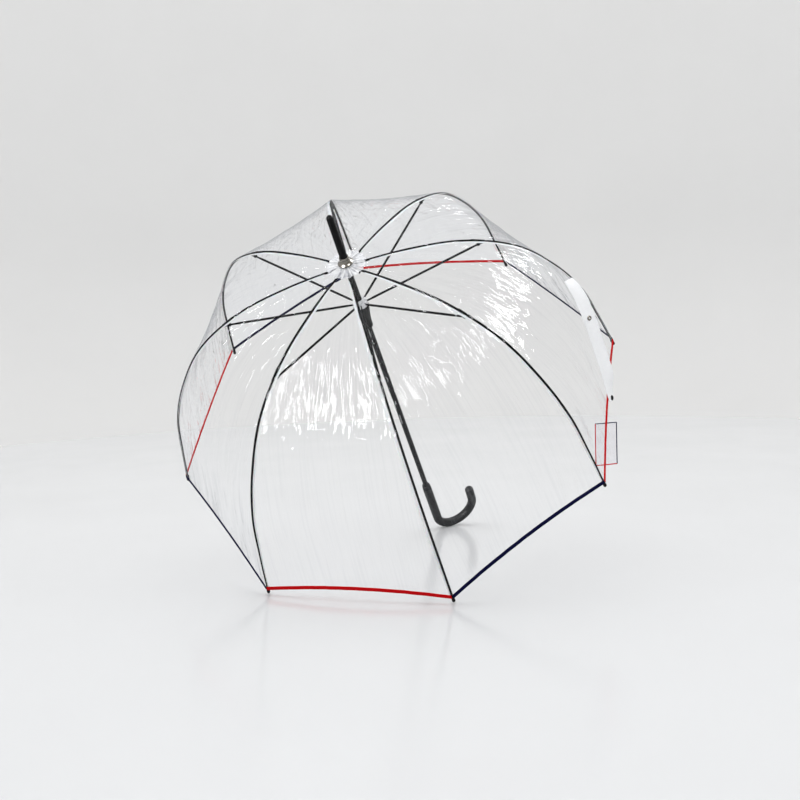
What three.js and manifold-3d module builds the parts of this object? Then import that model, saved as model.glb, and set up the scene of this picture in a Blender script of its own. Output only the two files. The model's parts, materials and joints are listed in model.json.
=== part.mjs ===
// A clear dome stick umbrella, open, resting on two rib tips and on the crook of its handle.
// Millimetres. Every piece is laid out in the umbrella's own frame, where the crown is the origin and
// +Z runs down the shaft to the handle. A rib's plane is (radius, depth). At the end the whole umbrella
// leans over on to the floor, with the row's +Z up.
import * as THREE from 'three';
import Module from 'manifold-3d';
import { mergeVertices } from 'three/addons/utils/BufferGeometryUtils.js';

const wasm = await Module();
wasm.setup();
const { Manifold, Mesh } = wasm;

// Layout
const RIB_COUNT = 8;
const RIB_PITCH = (2 * Math.PI) / RIB_COUNT;
const FIRST_RIB_ANGLE = THREE.MathUtils.degToRad(67.5); // rib 1, the front right foot
const CROOK_ANGLE = THREE.MathUtils.degToRad(-38.1); // the way the crook curls

// Ribs: centreline stations as [radius, depth], from the crown to the tip
const RIB_STATIONS = [
  [10.5, 0], [101, 6], [190, 25], [270, 68.5], [327, 134], [368, 208], [393, 289], [415, 372],
];
const ROD_RADIUS = 1.9;
const ROD_SIDES = 6;
const EYE_THICKNESS = 1.7;
const EYE_RADIUS = 2.0;
const EYE_HOLE_RADIUS = 0.95;
const NECK_LENGTH = 6.5;

// Linkage: crown pivot, stretcher pivot on the rib and runner pivot, with both links equally long
const PIVOT_RADIUS = 10.5;
const CROWN_PIVOT_DEPTH = -1;
const KNEE = new THREE.Vector2(211, 41);
const RUNNER_PIVOT_DEPTH = 2 * KNEE.y - CROWN_PIVOT_DEPTH;
const LINK_LENGTH = Math.hypot(KNEE.x - PIVOT_RADIUS, KNEE.y - CROWN_PIVOT_DEPTH);
const CLOSED_LINK_ANGLE = THREE.MathUtils.degToRad(6);
const RUNNER_TRAVEL = 2 * (LINK_LENGTH * Math.cos(CLOSED_LINK_ANGLE) - (KNEE.y - CROWN_PIVOT_DEPTH));
const PIN_RADIUS = 0.6;

// Clip at each knee: two cheek plates joined over the rib, with the elbow pin and the stretcher pin
const CLIP_GAP = 2.4;
const CHEEK = 1.0;
const CLIP_TOP = 1.2;
const CLIP_BOTTOM = 1.9;
const CLIP_TAIL = 14;
const CLIP_NOSE = 10;
const ELBOW_AHEAD = 5;
const KNEE_BOSS_RADIUS = 2.4;
const KNEE_HOLE_RADIUS = 1.05;
const KNEE_PIN_RADIUS = 0.7;

// Canopy film, hem binding and tips
const FILM_THICKNESS = 0.5;
const FILM_ABOVE_RIB = 2.7;
const FILM_START_RADIUS = 15;
const GORE_GAP = 0.2; // from a gore's edge to the rib's plane
const GORE_SAG = 5;
const HEM_BOW = 9;
const HEM_WIDTH = 7.5;
const FILM_TO_HEM = 0.8;
const HEM_THICKNESS = 1.6;
const HEM_END_GAP = 8;
const TIP_LENGTH = 13;
const TIP_RADIUS = 3.0;
const TIP_BORE_RADIUS = 2.2;
const TIP_BORE_DEPTH = 7.3;
const TIP_PAST_HEM = 9;
const ROSETTE_RADIUS = 34;

// Tie strap over gore 2, as [arc length, share across] on the canopy, and the label tag on its hem
const STRAP_GORE = 2;
const STRAP_STATIONS = [
  [396, -0.86], [400, -0.84], [420, -0.76], [440, -0.67], [465, -0.57], [490, -0.49],
  [515, -0.41], [540, -0.33], [560, -0.26], [580, -0.19], [596, -0.14], [607, -0.12],
];
const STRAP_WIDTH = 24;
const STRAP_THICKNESS = 1;
const STRAP_ABOVE_FILM = 1.6;
const STRAP_TWIST = THREE.MathUtils.degToRad(40);
const STRAP_END_TWIST = THREE.MathUtils.degToRad(8);
const STRAP_FLAT_STATIONS = 3;
const STRAP_TURN_STATIONS = [8, 10];
const LABEL_WIDTH = 45;
const LABEL_HEIGHT = 74;
const LABEL_OUTWARD = 1;
const LABEL_YAW = THREE.MathUtils.degToRad(40);
const LABEL_THICKNESS = 0.6;
const LABEL_ACROSS = 0.27;

// Shaft, ferrule and handle
const SHAFT_RADIUS = 5;
const SHAFT_BORE_RADIUS = 4.2;
const SHAFT_TOP = -39.7;
const SHAFT_END = 639.7;
const SPIKE_TOP = -103;
const SPIKE_BASE = -6.4;
const SPIKE_TIP_RADIUS = 5.5;
const SPIKE_BASE_RADIUS = 6.25;
const FIT_RADIUS = SHAFT_RADIUS + 0.3;
const GRIP_RADIUS = 9;
const GRIP_TOP = 607;
const BEND_START = 728;
const BEND_RADIUS = 42.3;
const CROOK_STRAIGHT = 34.8;

// Notched rings, runner and catches
const NOTCH_RADIUS = 12.4;
const SLOT_INNER_RADIUS = 8.2;
const SLOT_WIDTH = 2.4;
const RUNNER_BORE_RADIUS = 5.4;
const RUNNER_LENGTH = 50;
const CATCH_ANGLE = Math.PI / 2;
const CATCH_THICKNESS = 1.2;
const CATCH_REACH = 6.8;
const CATCH_LENGTH = 24;

const ribLine = new THREE.SplineCurve(RIB_STATIONS.map(([r, z]) => new THREE.Vector2(r, z)));
const RIB_LENGTH = ribLine.getLength();

/** The rib's centreline at an arc length from the crown: its point, tangent and outward normal. */
function ribAt(length) {
  const share = THREE.MathUtils.clamp(length / RIB_LENGTH, 0, 1);
  const point = ribLine.getPointAt(share);
  const tangent = ribLine.getTangentAt(share);
  return { point, tangent, normal: new THREE.Vector2(tangent.y, -tangent.x) };
}

/** The arc length at which the rib's centreline reaches a radius. */
function ribLengthAt(radius) {
  let low = 0;
  let high = RIB_LENGTH;
  for (let step = 0; step < 40; step += 1) {
    const middle = (low + high) / 2;
    if (ribAt(middle).point.x < radius) low = middle;
    else high = middle;
  }
  return low;
}

/** A closed solid from points and triangles, turned outwards. */
function solid(points, triangles) {
  const volume = triangles.reduce((sum, [a, b, c]) => {
    const cross = new THREE.Vector3().crossVectors(points[b], points[c]);
    return sum + points[a].dot(cross);
  }, 0);
  const geometry = new THREE.BufferGeometry().setFromPoints(points);
  geometry.setIndex(triangles.flatMap(([a, b, c]) => (volume > 0 ? [a, b, c] : [a, c, b])));
  return geometry;
}

/** A solid through a list of rings of equally many points, with both ends filled. */
function loft(rings) {
  const count = rings[0].length;
  const triangles = [];
  for (let ring = 0; ring + 1 < rings.length; ring += 1) {
    for (let n = 0; n < count; n += 1) {
      const a = ring * count + n;
      const b = ring * count + ((n + 1) % count);
      triangles.push([a, b, b + count], [a, b + count, a + count]);
    }
  }
  const last = (rings.length - 1) * count;
  for (let n = 1; n + 1 < count; n += 1) {
    triangles.push([0, n + 1, n], [last, last + n, last + n + 1]);
  }
  return solid(rings.flat(), triangles);
}

/** A rod along stations in a rib's plane: each has a point, a normal and a radius. */
function rod(stations, sides = ROD_SIDES) {
  return loft(stations.map(({ point, normal, radius }) => {
    const ring = [];
    for (let n = 0; n < sides; n += 1) {
      const angle = ((n + 0.5) / sides) * 2 * Math.PI;
      const along = Math.cos(angle) * radius;
      ring.push(new THREE.Vector3(
        point.x + normal.x * along,
        Math.sin(angle) * radius,
        point.y + normal.y * along,
      ));
    }
    return ring;
  }));
}

/** A curved panel between two grids of points of the same size, closed round its edge. */
function panel(outer, inner) {
  const rows = outer.length;
  const columns = outer[0].length;
  const at = (side, row, column) => side * rows * columns + row * columns + column;
  const triangles = [];
  const quad = (a, b, c, d) => triangles.push([a, b, c], [a, c, d]);
  for (let row = 0; row + 1 < rows; row += 1) {
    for (let column = 0; column + 1 < columns; column += 1) {
      const corners = [[row, column], [row, column + 1], [row + 1, column + 1], [row + 1, column]];
      quad(...corners.map(([r, c]) => at(0, r, c)));
      quad(...corners.reverse().map(([r, c]) => at(1, r, c)));
    }
  }
  const rim = [];
  for (let column = 0; column + 1 < columns; column += 1) rim.push([0, column]);
  for (let row = 0; row + 1 < rows; row += 1) rim.push([row, columns - 1]);
  for (let column = columns - 1; column > 0; column -= 1) rim.push([rows - 1, column]);
  for (let row = rows - 1; row > 0; row -= 1) rim.push([row, 0]);
  rim.forEach(([row, column], n) => {
    const [nextRow, nextColumn] = rim[(n + 1) % rim.length];
    const ends = [[0, nextRow, nextColumn], [0, row, column], [1, row, column], [1, nextRow, nextColumn]];
    quad(...ends.map(([side, r, c]) => at(side, r, c)));
  });
  return solid([...outer.flat(), ...inner.flat()], triangles);
}

/** A flat plate from a shape in a rib's plane, centred on that plane. */
function plate(shape, thickness, shift = 0) {
  const settings = { depth: thickness, bevelEnabled: false, curveSegments: 4 };
  const geometry = new THREE.ExtrudeGeometry(shape, settings);
  return geometry.translate(0, 0, -thickness / 2 - shift).rotateX(Math.PI / 2);
}

/** A round pin across a rib's plane. */
function pin(point, radius, length, sides = 6) {
  return new THREE.CylinderGeometry(radius, radius, length, sides).translate(point.x, 0, point.y);
}

/** A turned piece from [radius, depth] pairs. */
function turned(profile, segments = 24) {
  const points = [...profile, profile[0]].map(([r, z]) => new THREE.Vector2(r, z));
  return new THREE.LatheGeometry(points, segments).rotateX(Math.PI / 2);
}

/** A manifold body from a geometry. */
function body(geometry) {
  const bare = geometry.clone();
  bare.deleteAttribute('normal');
  bare.deleteAttribute('uv');
  const merged = mergeVertices(bare, 1e-4);
  const triangles = [];
  for (let n = 0; n < merged.index.count; n += 3) {
    const [a, b, c] = [0, 1, 2].map((k) => merged.index.getX(n + k));
    if (a !== b && b !== c && a !== c) triangles.push(a, b, c);
  }
  return new Manifold(new Mesh({
    numProp: 3,
    vertProperties: new Float32Array(merged.attributes.position.array),
    triVerts: new Uint32Array(triangles),
  }));
}

/** A geometry from a manifold body. */
function geometryOf(made) {
  const mesh = made.getMesh();
  const geometry = new THREE.BufferGeometry();
  geometry.setAttribute('position', new THREE.BufferAttribute(new Float32Array(mesh.vertProperties), 3));
  geometry.setIndex([...mesh.triVerts]);
  return geometry;
}

/** Joins solids, then cuts others from them. */
function carve(added, removed = []) {
  let made = body(added[0]);
  for (const piece of added.slice(1)) made = made.add(body(piece));
  for (const piece of removed) made = made.subtract(body(piece));
  return geometryOf(made);
}

const finishes = {
  blackMetal: { color: 0x16161a, roughness: 0.38, metalness: 0.75 },
  blackPlastic: { color: 0x121214, roughness: 0.42, metalness: 0 },
  handle: { color: 0x1b1b20, roughness: 0.4, metalness: 0 },
  nickel: { color: 0xc9c9c6, roughness: 0.2, metalness: 1 },
  steel: { color: 0x9a9a9c, roughness: 0.35, metalness: 1 },
  milky: { color: 0xe6e8ea, roughness: 0.45, metalness: 0 },
  film: { color: 0xe3e7ea, roughness: 0.12, metalness: 0, transparent: true, opacity: 0.3 },
  white: { color: 0xf1f1ef, roughness: 0.6, metalness: 0 },
  navy: { color: 0x1b2350, roughness: 0.7, metalness: 0 },
  red: { color: 0xb3202c, roughness: 0.7, metalness: 0 },
};

const umbrella = new THREE.Group();
umbrella.name = 'stick_umbrella';

function add(name, geometry, finish, angle = 0) {
  const mesh = new THREE.Mesh(geometry, new THREE.MeshStandardMaterial(finishes[finish]));
  mesh.name = name;
  mesh.rotation.z = angle;
  umbrella.add(mesh);
  return mesh;
}

const ribAngle = (rib) => FIRST_RIB_ANGLE - (rib - 1) * RIB_PITCH;
const goreAngle = (gore) => ribAngle(gore) - RIB_PITCH / 2;

/** A rounded link outline from a to b, wide enough for an eye at a, with the eye's hole. */
function eyeShape(centre, towards, length, holeRadius, radius = EYE_RADIUS, halfWidth = ROD_RADIUS) {
  const along = towards.clone().sub(centre).normalize();
  const across = new THREE.Vector2(-along.y, along.x);
  const start = Math.sqrt(radius * radius - halfWidth * halfWidth);
  const place = (x, y) => centre.clone().addScaledVector(along, x).addScaledVector(across, y);
  const outline = [place(length, -halfWidth), place(length, halfWidth)];
  const from = Math.atan2(halfWidth, start);
  const steps = 6;
  for (let n = 0; n <= steps; n += 1) {
    const angle = from + ((2 * Math.PI - 2 * from) * n) / steps;
    outline.push(place(radius * Math.cos(angle), radius * Math.sin(angle)));
  }
  const shape = new THREE.Shape(outline);
  const hole = new THREE.Path();
  hole.absarc(centre.x, centre.y, holeRadius, 0, 2 * Math.PI, true);
  shape.holes.push(hole);
  return shape;
}

// The stretcher pivot hangs under the rib: its foot is the nearest point of the centreline
const kneeFoot = (() => {
  let best = 0;
  for (let length = 150; length < 260; length += 0.05) {
    const distance = ribAt(length).point.distanceTo(KNEE);
    if (distance < ribAt(best).point.distanceTo(KNEE)) best = length;
  }
  return best;
})();
const ELBOW_LENGTH = kneeFoot + ELBOW_AHEAD;
const ELBOW = ribAt(ELBOW_LENGTH).point;

/** Stations of a rod along the rib's centreline. */
function ribStations(from, to, count) {
  const stations = [];
  for (let n = 0; n <= count; n += 1) {
    stations.push({ ...ribAt(from + ((to - from) * n) / count), radius: ROD_RADIUS });
  }
  return stations;
}

function upperRib() {
  const eye = new THREE.Vector2(PIVOT_RADIUS, CROWN_PIVOT_DEPTH);
  const start = ribLengthAt(PIVOT_RADIUS + NECK_LENGTH);
  const neckEnd = ribAt(start + 2).point;
  const neck = plate(eyeShape(eye, neckEnd, NECK_LENGTH + 1.5, EYE_HOLE_RADIUS), EYE_THICKNESS);
  const shaft = rod(ribStations(start, kneeFoot - CLIP_TAIL + 4, 8));
  const { point, tangent, normal } = ribAt(kneeFoot);
  const place = (x, y) => point.clone().addScaledVector(tangent, x).addScaledVector(normal, y);
  const hang = point.distanceTo(KNEE);
  const outline = [
    place(-CLIP_TAIL, CLIP_TOP), place(CLIP_NOSE, CLIP_TOP), place(CLIP_NOSE, -CLIP_BOTTOM),
  ];
  for (let n = 0; n <= 6; n += 1) {
    const angle = 0.35 - ((Math.PI + 0.7) * n) / 6;
    outline.push(place(KNEE_BOSS_RADIUS * Math.cos(angle), KNEE_BOSS_RADIUS * Math.sin(angle) - hang));
  }
  outline.push(place(-7, -CLIP_BOTTOM), place(-CLIP_TAIL, -CLIP_BOTTOM));
  const cheek = new THREE.Shape(outline);
  const bridge = new THREE.Shape([
    place(-CLIP_TAIL, CLIP_TOP), place(-CLIP_TAIL + 7, CLIP_TOP),
    place(-CLIP_TAIL + 7, -CLIP_BOTTOM), place(-CLIP_TAIL, -CLIP_BOTTOM),
  ]);
  const shift = (CLIP_GAP + CHEEK) / 2;
  const across = CLIP_GAP + 2 * CHEEK - 0.4;
  return carve([
    neck,
    shaft,
    plate(cheek, CHEEK, shift),
    plate(cheek, CHEEK, -shift),
    plate(bridge, CLIP_GAP + 2 * CHEEK),
    pin(KNEE, KNEE_PIN_RADIUS, across),
    pin(ELBOW, PIN_RADIUS, across),
  ]);
}

function lowerRib() {
  const ahead = ribAt(ELBOW_LENGTH + 9).point;
  const eye = plate(eyeShape(ELBOW, ahead, 9.5, EYE_HOLE_RADIUS, 1.75, 1.45), EYE_THICKNESS);
  const shaft = rod(ribStations(ELBOW_LENGTH + 8, RIB_LENGTH - TIP_LENGTH + TIP_BORE_DEPTH - 0.3, 12));
  return carve([eye, shaft]);
}

function stretcher() {
  const inner = new THREE.Vector2(PIVOT_RADIUS, RUNNER_PIVOT_DEPTH);
  const along = inner.clone().sub(KNEE).normalize();
  const normal = new THREE.Vector2(along.y, -along.x);
  const station = (distance) => ({
    point: KNEE.clone().addScaledVector(along, distance),
    normal,
    radius: ROD_RADIUS,
  });
  return carve([
    plate(eyeShape(KNEE, inner, NECK_LENGTH + 4, KNEE_HOLE_RADIUS), EYE_THICKNESS),
    plate(eyeShape(inner, KNEE, NECK_LENGTH + 1.5, EYE_HOLE_RADIUS), EYE_THICKNESS),
    rod([station(NECK_LENGTH + 2.5), station(LINK_LENGTH - NECK_LENGTH)]),
  ]);
}

function ribTip() {
  const end = ribAt(RIB_LENGTH);
  const rings = [
    [0, TIP_BORE_RADIUS], [0, TIP_RADIUS], [TIP_LENGTH - 2.2, TIP_RADIUS],
    [TIP_LENGTH - 0.8, TIP_RADIUS * 0.78], [TIP_LENGTH, TIP_RADIUS * 0.3], [TIP_LENGTH, 0],
    [TIP_BORE_DEPTH, 0], [TIP_BORE_DEPTH, TIP_BORE_RADIUS],
  ];
  const cap = turned(rings.map(([z, r]) => [r, z]), 8).translate(0, 0, -TIP_LENGTH);
  const lean = Math.atan2(end.tangent.x, end.tangent.y);
  return cap.rotateY(lean).translate(end.point.x, 0, end.point.y);
}

/** A point of the canopy in a gore's frame: arc length, share across from -1 to 1, height over the rib. */
function canopyPoint(length, across, height) {
  const { point, normal } = ribAt(length);
  const edge = point.clone().addScaledVector(normal, height);
  const sag = GORE_SAG * Math.sin((Math.PI * length) / RIB_LENGTH) * (1 - across * across);
  const half = RIB_PITCH / 2;
  return new THREE.Vector3(
    edge.x * Math.cos(half) - sag * normal.x,
    across * (edge.x * Math.sin(half) - GORE_GAP / Math.cos(half)),
    edge.y - sag * normal.y,
  );
}

const hemLength = (across) => RIB_LENGTH - TIP_PAST_HEM - HEM_BOW * (1 - across * across);

/** A grid of canopy points: from and to give the arc length at a share across. */
function canopyGrid(from, to, height, rows, columns, reach = 1) {
  const grid = [];
  for (let row = 0; row <= rows; row += 1) {
    const line = [];
    for (let column = 0; column <= columns; column += 1) {
      const across = reach * ((2 * column) / columns - 1);
      const length = from(across) + ((to(across) - from(across)) * row) / rows;
      line.push(canopyPoint(length, across, height));
    }
    grid.push(line);
  }
  return grid;
}

function gore() {
  const start = ribLengthAt(FILM_START_RADIUS);
  const grid = (height) => canopyGrid(
    () => start,
    (across) => hemLength(across) - HEM_WIDTH - FILM_TO_HEM,
    height,
    18,
    6,
  );
  return panel(grid(FILM_ABOVE_RIB + FILM_THICKNESS), grid(FILM_ABOVE_RIB));
}

function hem() {
  const reach = 1 - HEM_END_GAP / (ribAt(RIB_LENGTH).point.x * Math.sin(RIB_PITCH / 2));
  const inner = FILM_ABOVE_RIB + (FILM_THICKNESS - HEM_THICKNESS) / 2;
  const grid = (height) => canopyGrid(
    (across) => hemLength(across) - HEM_WIDTH,
    hemLength,
    height,
    1,
    6,
    reach,
  );
  return panel(grid(inner + HEM_THICKNESS), grid(inner));
}

for (let rib = 1; rib <= RIB_COUNT; rib += 1) {
  const angle = ribAngle(rib);
  add(`rib_upper_${rib}`, upperRib(), 'blackMetal', angle);
  add(`rib_lower_${rib}`, lowerRib(), 'blackMetal', angle);
  add(`stretcher_${rib}`, stretcher(), 'blackMetal', angle);
  add(`rib_tip_${rib}`, ribTip(), 'blackPlastic', angle);
  add(`gore_${rib}`, gore(), 'film', goreAngle(rib));
  add(`hem_${rib}`, hem(), rib % 2 ? 'navy' : 'red', goreAngle(rib));
}

/** A box in the frame of an angle round the shaft. */
function block(fromRadius, toRadius, width, top, bottom, angle) {
  const geometry = new THREE.BoxGeometry(toRadius - fromRadius, width, bottom - top);
  geometry.translate((fromRadius + toRadius) / 2, 0, (top + bottom) / 2);
  return geometry.rotateZ(angle);
}

/** A notched ring: a collar with a slot and a pivot pin for each link. */
function notchedRing(profile, pivotDepth, slotTop, slotBottom, cuts) {
  const slots = [];
  const pins = [];
  for (let rib = 1; rib <= RIB_COUNT; rib += 1) {
    const angle = ribAngle(rib);
    slots.push(block(SLOT_INNER_RADIUS, NOTCH_RADIUS + 2, SLOT_WIDTH, slotTop, slotBottom, angle));
    const point = new THREE.Vector2(PIVOT_RADIUS, pivotDepth);
    pins.push(pin(point, PIN_RADIUS, SLOT_WIDTH + 1).rotateZ(angle));
  }
  const ring = carve([turned(profile, 16)], [...slots, ...cuts]);
  return carve([ring, ...pins]);
}

add('top_notch', notchedRing([
  [FIT_RADIUS, -4.3], [NOTCH_RADIUS, -4.3], [NOTCH_RADIUS, 2.2],
  [7.5, 2.2], [7.5, 14], [FIT_RADIUS, 14],
], CROWN_PIVOT_DEPTH, -3.5, 20, []), 'milky');

/** Room along the inside of the runner for the catches to stand in. */
function groove(top, bottom) {
  return block(0, CATCH_REACH + 0.5, CATCH_THICKNESS + 1, top, bottom, CATCH_ANGLE);
}
const ringTop = RUNNER_PIVOT_DEPTH - 9;
const ringShoulder = RUNNER_PIVOT_DEPTH - 3;
const ringBottom = RUNNER_PIVOT_DEPTH + 4;
add('runner_notch', notchedRing([
  [RUNNER_BORE_RADIUS, ringTop], [7.9, ringTop], [7.9, ringShoulder],
  [NOTCH_RADIUS, ringShoulder], [NOTCH_RADIUS, ringBottom], [RUNNER_BORE_RADIUS, ringBottom],
], RUNNER_PIVOT_DEPTH, ringTop - 1, ringBottom - 1, [groove(ringTop - 1, ringBottom + 1)]), 'milky');

const bellTop = ringBottom + 0.3;
const bellBottom = bellTop + RUNNER_LENGTH;
add('runner_body', carve([turned([
  [RUNNER_BORE_RADIUS, bellTop], [12.6, bellTop], [13, bellTop + 3], [12.3, bellTop + 9],
  [9.6, bellTop + 18], [8, bellTop + 24], [7.6, bellBottom], [RUNNER_BORE_RADIUS, bellBottom],
])], [groove(bellTop - 1, bellBottom + 1)]), 'blackPlastic');

// Catches: each is a flat spring that stands out of a slot in the shaft and presses in
const topCatch = bellBottom + 0.4;
const bottomCatch = ringTop + RUNNER_TRAVEL - 0.4;
function catchPiece(steep, slope) {
  const shape = new THREE.Shape([
    new THREE.Vector2(1, steep),
    new THREE.Vector2(CATCH_REACH, steep),
    new THREE.Vector2(SHAFT_BORE_RADIUS, steep + slope * CATCH_LENGTH),
    new THREE.Vector2(1, steep + slope * CATCH_LENGTH),
  ]);
  return plate(shape, CATCH_THICKNESS);
}
add('top_catch', catchPiece(topCatch, 1), 'steel', CATCH_ANGLE);
add('bottom_catch', catchPiece(bottomCatch, -1), 'steel', CATCH_ANGLE);

/** The slot in the shaft that a catch stands out of. */
function catchSlot(top, bottom) {
  return block(0, SHAFT_RADIUS + 2, CATCH_THICKNESS + 0.6, top - 0.4, bottom + 0.4, CATCH_ANGLE);
}
const tube = turned([
  [SHAFT_BORE_RADIUS, SHAFT_TOP], [SHAFT_RADIUS, SHAFT_TOP],
  [SHAFT_RADIUS, SHAFT_END], [SHAFT_BORE_RADIUS, SHAFT_END],
], 20);
add('shaft_tube', carve([tube], [
  catchSlot(topCatch, topCatch + CATCH_LENGTH),
  catchSlot(bottomCatch - CATCH_LENGTH, bottomCatch),
]), 'blackMetal');

add('ferrule_spike', turned([
  [0, SPIKE_TOP], [2.6, SPIKE_TOP + 0.6], [4.6, SPIKE_TOP + 2.4], [SPIKE_TIP_RADIUS, SPIKE_TOP + 5.5],
  [SPIKE_BASE_RADIUS, -24], [SPIKE_BASE_RADIUS, SPIKE_BASE], [FIT_RADIUS, SPIKE_BASE],
  [FIT_RADIUS, SHAFT_TOP - 0.3], [0, SHAFT_TOP - 0.3],
], 20), 'blackPlastic');
add('ferrule_cap', turned([
  [SPIKE_BASE_RADIUS + 0.3, -20], [7.6, -20], [8.2, -15], [10.2, -10.5], [12.5, -8.4], [12.5, -7],
  [11.2, -6.6], [SPIKE_BASE_RADIUS + 0.3, -6.6],
], 24), 'nickel');
add('rosette', turned([
  [SPIKE_BASE_RADIUS + 0.4, -6.1], [ROSETTE_RADIUS, -3.2],
  [ROSETTE_RADIUS, -2.4], [SPIKE_BASE_RADIUS + 0.4, -5.3],
], 32), 'milky');

/** The crook: a straight grip, a half-round bend and a short straight end, bored for the shaft. */
function crook() {
  const stations = [];
  const station = (x, y, turn, radius = GRIP_RADIUS) => stations.push({
    point: new THREE.Vector2(x, y),
    normal: new THREE.Vector2(Math.cos(turn), Math.sin(turn)),
    radius,
  });
  station(0, GRIP_TOP, 0, 7.4);
  station(0, GRIP_TOP + 1.5, 0, 8.2);
  station(0, GRIP_TOP + 12, 0);
  station(0, BEND_START, 0);
  const steps = 12;
  for (let n = 1; n <= steps; n += 1) {
    const turn = (Math.PI * n) / steps;
    station(BEND_RADIUS * (1 - Math.cos(turn)), BEND_START + BEND_RADIUS * Math.sin(turn), -turn);
  }
  const end = BEND_START - CROOK_STRAIGHT;
  station(2 * BEND_RADIUS, end + 4, -Math.PI, GRIP_RADIUS);
  station(2 * BEND_RADIUS, end + 1.2, -Math.PI, 7.6);
  station(2 * BEND_RADIUS, end, -Math.PI, 4.6);
  const bore = new THREE.CylinderGeometry(FIT_RADIUS, FIT_RADIUS, 2 * (SHAFT_END + 0.3 - GRIP_TOP), 20);
  bore.rotateX(Math.PI / 2).translate(0, 0, GRIP_TOP);
  return carve([rod(stations, 14)], [bore]);
}
add('crook_handle', crook(), 'handle', CROOK_ANGLE);

/** How far the shaft leans from upright when two rib tips and the crook stand on one floor. */
function restingLean() {
  const tip = ribAt(RIB_LENGTH).point;
  const outward = Math.sin(FIRST_RIB_ANGLE) * tip.x;
  const rise = -Math.sin(CROOK_ANGLE);
  let low = 0.5;
  let high = 1.1;
  for (let step = 0; step < 50; step += 1) {
    const lean = (low + high) / 2;
    const [sine, cosine] = [Math.sin(lean), Math.cos(lean)];
    const foot = -outward * sine - tip.y * cosine - TIP_RADIUS * 0.5;
    const bend = BEND_RADIUS * (rise * sine - Math.hypot(rise * sine, cosine)) - GRIP_RADIUS;
    if (foot > bend - BEND_START * cosine) low = lean;
    else high = lean;
  }
  return low;
}

const lean = restingLean();
const up = new THREE.Vector3(0, -Math.sin(lean), -Math.cos(lean));

/** The tie strap: a flat band over the film, sewn down flat at one end and twisted up on edge beyond. */
function strap() {
  const height = FILM_ABOVE_RIB + FILM_THICKNESS + STRAP_ABOVE_FILM;
  const onFilm = ([length, across]) => canopyPoint(length, across, height);
  const middle = STRAP_STATIONS.map(onFilm);
  const width = [0.45, 0.8, ...Array(STRAP_STATIONS.length - 2).fill(1)];
  return loft(STRAP_STATIONS.map(([length, across], n) => {
    const before = middle[Math.max(0, n - 1)];
    const after = middle[Math.min(middle.length - 1, n + 1)];
    const along = after.clone().sub(before).normalize();
    const down = onFilm([length + 1, across]).sub(onFilm([length - 1, across]));
    const round = onFilm([length, across + 0.01]).sub(onFilm([length, across - 0.01]));
    const outward = new THREE.Vector3().crossVectors(round, down);
    const sideways = new THREE.Vector3().crossVectors(along, outward).normalize();
    const normal = new THREE.Vector3().crossVectors(sideways, along).normalize();
    const reach = (width[n] * STRAP_WIDTH) / 2;
    const turning = THREE.MathUtils.smoothstep(n, ...STRAP_TURN_STATIONS);
    const most = THREE.MathUtils.lerp(STRAP_TWIST, STRAP_END_TWIST, turning);
    const twist = most * THREE.MathUtils.smoothstep(n, 0, STRAP_FLAT_STATIONS);
    const start = middle[n].clone().addScaledVector(normal, reach * Math.sin(twist));
    sideways.applyAxisAngle(along, twist);
    normal.applyAxisAngle(along, twist);
    const corner = (x, y) => {
      const point = start.clone();
      return point.addScaledVector(sideways, x).addScaledVector(normal, y);
    };
    const top = STRAP_THICKNESS;
    return [corner(-reach, 0), corner(reach, 0), corner(reach, top), corner(-reach, top)];
  }));
}
add('tie_strap', strap(), 'white', goreAngle(STRAP_GORE));

/** The label: a clear tag that hangs straight down behind the hem. */
function label() {
  const point = canopyPoint(hemLength(LABEL_ACROSS), LABEL_ACROSS, FILM_ABOVE_RIB);
  const sideways = new THREE.Vector3(1, 0, 0).applyAxisAngle(up, LABEL_YAW);
  const facing = new THREE.Vector3().crossVectors(sideways, up);
  const geometry = new THREE.BoxGeometry(LABEL_WIDTH, LABEL_HEIGHT, LABEL_THICKNESS);
  geometry.applyMatrix4(new THREE.Matrix4().makeBasis(sideways, up, facing));
  point.addScaledVector(up, -LABEL_HEIGHT / 2 + 3).addScaledVector(facing, -4.6);
  point.addScaledVector(sideways, LABEL_OUTWARD);
  return geometry.translate(point.x, point.y, point.z);
}
add('label_tag', label(), 'milky', goreAngle(STRAP_GORE));

umbrella.rotation.x = Math.PI + lean;
umbrella.updateMatrixWorld(true);
const box = new THREE.Box3().setFromObject(umbrella, true);
umbrella.position.set(-(box.min.x + box.max.x) / 2, -(box.min.y + box.max.y) / 2, -box.min.z);
umbrella.updateMatrixWorld(true);

export default umbrella;
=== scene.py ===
import bisect
import json
import math

import bmesh
import bpy
from mathutils import Matrix, Vector, noise

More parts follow.
